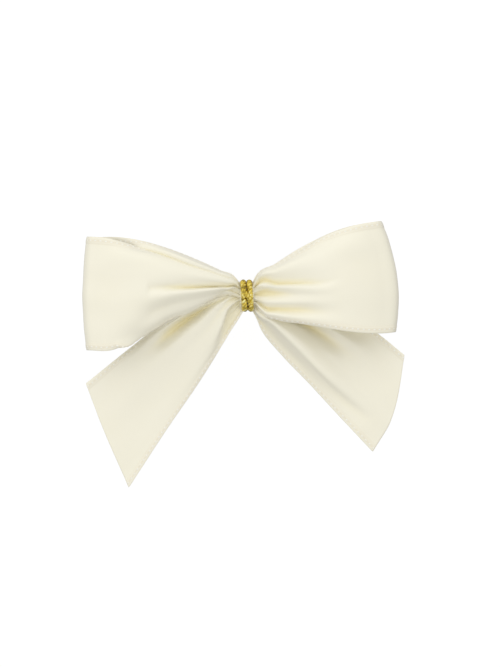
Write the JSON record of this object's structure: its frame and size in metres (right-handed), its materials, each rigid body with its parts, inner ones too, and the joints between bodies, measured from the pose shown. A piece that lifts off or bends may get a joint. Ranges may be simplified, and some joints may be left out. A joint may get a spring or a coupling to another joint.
{
  "type": "pre-made gift bow",
  "caption": "Flat-backed satin ribbon bow with paired open loops and slant-cut tails, gathered by a wound metallic cord, on an adhesive pad.",
  "frame": {"origin": "on the flat back face, under the middle of the tie", "axes": "+X to the bow's right, across both loops; +Y to its top, away from the tails; +Z out of its front"},
  "size_m": [0.1114, 0.0922, 0.0177],
  "materials": {
    "ribbon_satin": "ivory double-faced satin with a soft sheen",
    "gold_cord": "twisted metallic gold thread",
    "foam_pad": "matt white closed-cell foam tape",
    "release_paper": "smooth siliconed paper"
  },
  "bodies": {
    "root": {"ribbon_neck": "ribbon_satin", "tie_turn_left": "gold_cord", "tie_turn_right": "gold_cord", "tie_crossover": "gold_cord", "tie_twist": "gold_cord", "adhesive_pad": "foam_pad"},
    "left_loop_gather": {"left_loop_gather": "ribbon_satin"},
    "left_loop": {"left_loop": "ribbon_satin"},
    "right_loop_gather": {"right_loop_gather": "ribbon_satin"},
    "right_loop": {"right_loop": "ribbon_satin"},
    "left_tail_gather": {"left_tail_gather": "ribbon_satin"},
    "left_tail": {"left_tail": "ribbon_satin"},
    "right_tail_gather": {"right_tail_gather": "ribbon_satin"},
    "right_tail": {"right_tail": "ribbon_satin"},
    "release_liner": {"release_liner": "release_paper"}
  },
  "joints": [
    {"name": "left_loop_swivel", "type": "hinge", "parent": "root", "child": "left_loop_gather", "pos_m": [0, 0, 0.00745], "axis": [0, 0, 1], "range_deg": [-5, 5]},
    {"name": "left_loop_lift", "type": "hinge", "parent": "left_loop_gather", "child": "left_loop", "pos_m": [-0.00915, 0.00018, 0.0094], "axis": [0.0192, 0.9998, 0], "range_deg": [0, 30]},
    {"name": "right_loop_swivel", "type": "hinge", "parent": "root", "child": "right_loop_gather", "pos_m": [0, 0, 0.00745], "axis": [0, 0, 1], "range_deg": [-5, 5]},
    {"name": "right_loop_lift", "type": "hinge", "parent": "right_loop_gather", "child": "right_loop", "pos_m": [0.00907, 0.00121, 0.0094], "axis": [0.1323, -0.9912, 0], "range_deg": [0, 30]},
    {"name": "left_tail_swivel", "type": "hinge", "parent": "root", "child": "left_tail_gather", "pos_m": [0, 0, 0.0034], "axis": [0, 0, 1], "range_deg": [-8, 8]},
    {"name": "left_tail_droop", "type": "hinge", "parent": "left_tail_gather", "child": "left_tail", "pos_m": [-0.00612, -0.0068, 0.0022], "axis": [0.7431, -0.6691, 0], "range_deg": [0, 45]},
    {"name": "right_tail_swivel", "type": "hinge", "parent": "root", "child": "right_tail_gather", "pos_m": [0, 0, 0.0034], "axis": [0, 0, 1], "range_deg": [-8, 8]},
    {"name": "right_tail_droop", "type": "hinge", "parent": "right_tail_gather", "child": "right_tail", "pos_m": [0.00711, -0.00576, 0.0022], "axis": [0.6293, 0.7771, 0], "range_deg": [0, 45]},
    {"name": "liner_peel", "type": "hinge", "parent": "root", "child": "release_liner", "pos_m": [0.0075, 0, 0.00015], "axis": [0, -1, 0], "range_deg": [0, 100]}
  ]
}
